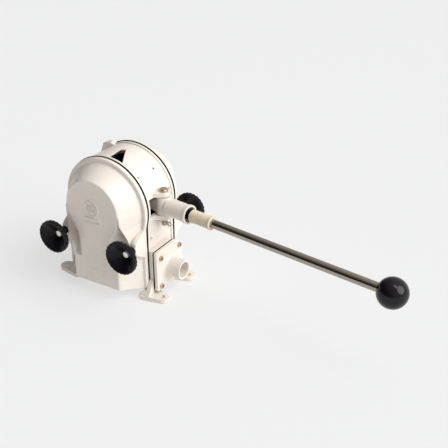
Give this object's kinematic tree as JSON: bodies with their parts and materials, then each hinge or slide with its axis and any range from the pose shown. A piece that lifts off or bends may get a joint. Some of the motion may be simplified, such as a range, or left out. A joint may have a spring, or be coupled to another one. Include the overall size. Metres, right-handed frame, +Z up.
{
  "type": "bilge pump",
  "caption": "Hand-operated double diaphragm bilge pump: drum body on feet, domed covers with hand knobs, side lever with ball handle, hose tails on both sides.",
  "frame": {"origin": "centre of the four foot bolt holes, on the base plane under the feet", "axes": "+Z up, +X towards the lever and the inlet hose tail, -Y towards the front cover"},
  "size_m": [0.7199, 0.2354, 0.266],
  "materials": {
    "cast_enamel": "gloss cream epoxy on cast aluminium",
    "rubber": "smooth black rubber",
    "plate_aluminium": "machined",
    "stainless": "plain stainless",
    "bronze_steel": "dull bronze-toned stainless",
    "nylon": "natural nylon",
    "sleeve_plastic": "beige moulded nylon",
    "polished_tube": "polished stainless tube",
    "black_plastic": "gloss black phenolic",
    "brass": "turned brass"
  },
  "bodies": {
    "root": {"body_casting": "cast_enamel", "front_cover": "cast_enamel", "rear_cover": "cast_enamel", "front_diaphragm": "rubber", "rear_diaphragm": "rubber", "inlet_manifold": "cast_enamel", "outlet_manifold": "cast_enamel", "inlet_gasket": "rubber", "outlet_gasket": "rubber", "inlet_screws": "bronze_steel", "outlet_screws": "bronze_steel", "cover_studs": "stainless", "stud_pins": "stainless", "valve_pins": "stainless", "inlet_seat_front": "nylon", "inlet_seat_rear": "nylon", "outlet_seat_front": "nylon", "outlet_seat_rear": "nylon", "pivot_pin": "bronze_steel", "pivot_washer": "stainless", "split_pin": "stainless"},
    "lever_arm": {"lever": "cast_enamel", "lever_bushes": "nylon", "roller_pin": "stainless"},
    "roller": {"drive_roller": "nylon"},
    "handle": {"handle_sleeve": "sleeve_plastic", "handle_tube": "polished_tube", "handle_ball": "black_plastic", "ball_insert": "brass"},
    "drive": {"drive_yoke": "plate_aluminium", "front_inner_plate": "plate_aluminium", "rear_inner_plate": "plate_aluminium", "front_outer_plate": "plate_aluminium", "rear_outer_plate": "plate_aluminium", "front_centre_bolt": "stainless", "rear_centre_bolt": "stainless"},
    "inlet_flap_front_body": {"inlet_flap_front": "rubber"},
    "outlet_flap_front_body": {"outlet_flap_front": "rubber"},
    "inlet_flap_rear_body": {"inlet_flap_rear": "rubber"},
    "outlet_flap_rear_body": {"outlet_flap_rear": "rubber"},
    "front_right_washer_body": {"front_right_washer": "stainless"},
    "front_right_knob_body": {"front_right_knob": "black_plastic", "front_right_knob_insert": "brass"},
    "front_left_washer_body": {"front_left_washer": "stainless"},
    "front_left_knob_body": {"front_left_knob": "black_plastic", "front_left_knob_insert": "brass"},
    "rear_right_washer_body": {"rear_right_washer": "stainless"},
    "rear_right_knob_body": {"rear_right_knob": "black_plastic", "rear_right_knob_insert": "brass"},
    "rear_left_washer_body": {"rear_left_washer": "stainless"},
    "rear_left_knob_body": {"rear_left_knob": "black_plastic", "rear_left_knob_insert": "brass"}
  },
  "joints": [
    {"name": "lever_swing", "type": "hinge", "parent": "root", "child": "lever_arm", "pos_m": [0.095, 0, 0.176], "axis": [0, 0, 1], "range_deg": [-6.5, 23.4]},
    {"name": "drive_slide", "type": "slide", "parent": "root", "child": "drive", "axis": [0, 1, 0], "range_m": [-0.0386, 0.0109], "deforming": ["front_diaphragm", "rear_diaphragm"]},
    {"name": "roller_spin", "type": "hinge", "parent": "lever_arm", "child": "roller", "pos_m": [0.00103, 0.01396, 0.176], "axis": [0, 0, 1], "continuous": true},
    {"name": "handle_pull", "type": "slide", "parent": "lever_arm", "child": "handle", "axis": [0.9891, -0.1469, 0], "range_m": [0, 0.034]},
    {"name": "inlet_valve_front", "type": "hinge", "parent": "root", "child": "inlet_flap_front_body", "pos_m": [0.033, -0.0446, 0.083], "axis": [-1, 0, 0], "range_deg": [0, 12]},
    {"name": "outlet_valve_front", "type": "hinge", "parent": "root", "child": "outlet_flap_front_body", "pos_m": [-0.033, -0.0314, 0.083], "axis": [1, 0, 0], "range_deg": [0, 35]},
    {"name": "inlet_valve_rear", "type": "hinge", "parent": "root", "child": "inlet_flap_rear_body", "pos_m": [0.033, 0.0446, 0.083], "axis": [1, 0, 0], "range_deg": [0, 12]},
    {"name": "outlet_valve_rear", "type": "hinge", "parent": "root", "child": "outlet_flap_rear_body", "pos_m": [-0.033, 0.0314, 0.083], "axis": [-1, 0, 0], "range_deg": [0, 35]},
    {"name": "front_right_knob_travel", "type": "slide", "parent": "root", "child": "front_right_washer_body", "axis": [0, -1, 0], "range_m": [0, 0.0101]},
    {"name": "front_right_knob_turn", "type": "hinge", "parent": "front_right_washer_body", "child": "front_right_knob_body", "pos_m": [0.0777, -0.1, 0.1152], "axis": [0, -1, 0], "range_deg": [0, 2880]},
    {"name": "front_left_knob_travel", "type": "slide", "parent": "root", "child": "front_left_washer_body", "axis": [0, -1, 0], "range_m": [0, 0.0101]},
    {"name": "front_left_knob_turn", "type": "hinge", "parent": "front_left_washer_body", "child": "front_left_knob_body", "pos_m": [-0.0777, -0.1, 0.1152], "axis": [0, -1, 0], "range_deg": [0, 2880]},
    {"name": "rear_right_knob_travel", "type": "slide", "parent": "root", "child": "rear_right_washer_body", "axis": [0, 1, 0], "range_m": [0, 0.0101]},
    {"name": "rear_right_knob_turn", "type": "hinge", "parent": "rear_right_washer_body", "child": "rear_right_knob_body", "pos_m": [0.0777, 0.1, 0.1152], "axis": [0, 1, 0], "range_deg": [0, 2880]},
    {"name": "rear_left_knob_travel", "type": "slide", "parent": "root", "child": "rear_left_washer_body", "axis": [0, 1, 0], "range_m": [0, 0.0101]},
    {"name": "rear_left_knob_turn", "type": "hinge", "parent": "rear_left_washer_body", "child": "rear_left_knob_body", "pos_m": [-0.0777, 0.1, 0.1152], "axis": [0, 1, 0], "range_deg": [0, 2880]}
  ],
  "couplings": [
    {"joint": "drive_slide", "follows": "lever_swing", "m_per_rad": -0.0942},
    {"joint": "front_right_knob_travel", "follows": "front_right_knob_turn", "m_per_rad": 0.00019894},
    {"joint": "front_left_knob_travel", "follows": "front_left_knob_turn", "m_per_rad": 0.00019894},
    {"joint": "rear_right_knob_travel", "follows": "rear_right_knob_turn", "m_per_rad": 0.00019894},
    {"joint": "rear_left_knob_travel", "follows": "rear_left_knob_turn", "m_per_rad": 0.00019894}
  ]
}
